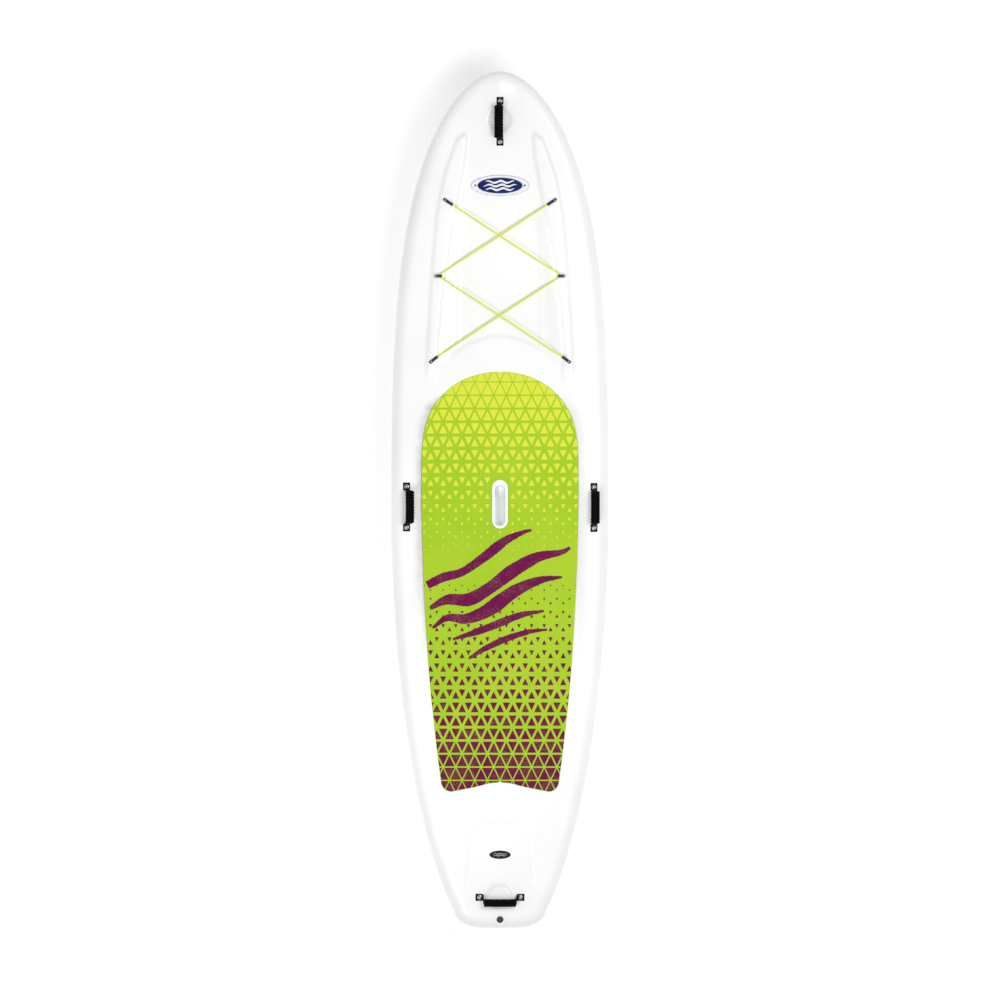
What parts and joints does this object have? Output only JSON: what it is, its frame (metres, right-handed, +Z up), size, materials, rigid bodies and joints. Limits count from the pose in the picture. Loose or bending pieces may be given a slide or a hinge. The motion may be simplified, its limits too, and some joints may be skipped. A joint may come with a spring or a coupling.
{
  "type": "stand up paddleboard",
  "caption": "Rigid all-round stand up paddleboard with a patterned deck pad, carry well, strap handles, bow bungee, drain plug and centre fin.",
  "frame": {"origin": "on the flat underside of the hull, amidships, on the centre line", "axes": "+X to the right side seen from above with the nose ahead, +Y to the nose, +Z up out of the deck"},
  "size_m": [0.814, 3.2, 0.4218],
  "materials": {
    "white_shell": "satin moulded polyethylene",
    "core_foam": "closed-cell foam",
    "pad_mat": "soft matt EVA with a printed pattern",
    "black_plastic": "moulded",
    "webbing": "woven polyester",
    "grip_rubber": "ribbed, matt",
    "steel": "stainless",
    "brass": "plain",
    "elastic_cord": "braided sheath",
    "navy_inlay": "gloss",
    "label_black": "gloss",
    "seal_rubber": "matt",
    "fin_black": "satin"
  },
  "bodies": {
    "board": {"deck_shell": "white_shell", "hull_shell": "white_shell", "foam_left": "core_foam", "foam_right": "core_foam", "foam_nose": "core_foam", "foam_tail": "core_foam", "deck_pad": "pad_mat", "carry_cup": "white_shell", "deck_plugs": "black_plastic", "nose_strap_tabs": "webbing", "nose_screws": "steel", "nose_washers": "steel", "left_strap_tabs": "webbing", "left_screws": "steel", "left_washers": "steel", "right_strap_tabs": "webbing", "right_screws": "steel", "right_washers": "steel", "tail_strap_tabs": "webbing", "tail_screws": "steel", "tail_washers": "steel", "threaded_inserts": "brass", "bungee_cord_a": "elastic_cord", "bungee_cord_b": "elastic_cord", "bungee_ferrules": "black_plastic", "bungee_pad_eyes": "black_plastic", "bungee_rivets": "steel", "badge_plate": "white_shell", "badge_inlay": "navy_inlay", "badge_pins": "black_plastic", "tail_label": "label_black", "drain_bush": "black_plastic", "fin_box": "black_plastic"},
    "nose_handle": {"nose_strap_loop": "webbing", "nose_grip": "grip_rubber"},
    "left_handle": {"left_strap_loop": "webbing", "left_grip": "grip_rubber"},
    "right_handle": {"right_strap_loop": "webbing", "right_grip": "grip_rubber"},
    "tail_handle": {"tail_strap_loop": "webbing", "tail_grip": "grip_rubber"},
    "seal_ring": {"drain_seal": "seal_rubber"},
    "plug": {"drain_plug": "black_plastic"},
    "fin_set": {"fin": "fin_black", "fin_screw": "steel", "fin_plate_nut": "brass", "fin_cross_pin": "brass"}
  },
  "joints": [
    {"name": "nose_handle_swing", "type": "hinge", "parent": "board", "child": "nose_handle", "pos_m": [0, 1.41255, 0.17831], "axis": [0, 0.9959, 0.0902], "range_deg": [-60, 76]},
    {"name": "left_handle_swing", "type": "hinge", "parent": "board", "child": "left_handle", "pos_m": [-0.349, -0.026, 0.137], "axis": [0, 1, 0], "range_deg": [-90, 46]},
    {"name": "right_handle_swing", "type": "hinge", "parent": "board", "child": "right_handle", "pos_m": [0.351, -0.028, 0.137], "axis": [0, 1, 0], "range_deg": [-76, 60]},
    {"name": "tail_handle_swing", "type": "hinge", "parent": "board", "child": "tail_handle", "pos_m": [0, -1.484, 0.137], "axis": [1, 0, 0], "range_deg": [-104, 32]},
    {"name": "drain_seal_lift", "type": "slide", "parent": "board", "child": "seal_ring", "axis": [0, 0, 1], "range_m": [0, 0.012]},
    {"name": "drain_plug_turn", "type": "hinge", "parent": "seal_ring", "child": "plug", "pos_m": [0, -1.567, 0.135], "axis": [0, 0, 1], "range_deg": [0, 1441]},
    {"name": "fin_slide", "type": "slide", "parent": "board", "child": "fin_set", "axis": [0, 0.9989, -0.0473], "range_m": [-0.018, 0.032]}
  ],
  "couplings": [
    {"joint": "drain_plug_turn", "follows": "drain_seal_lift", "rad_per_m": 2094.4}
  ]
}
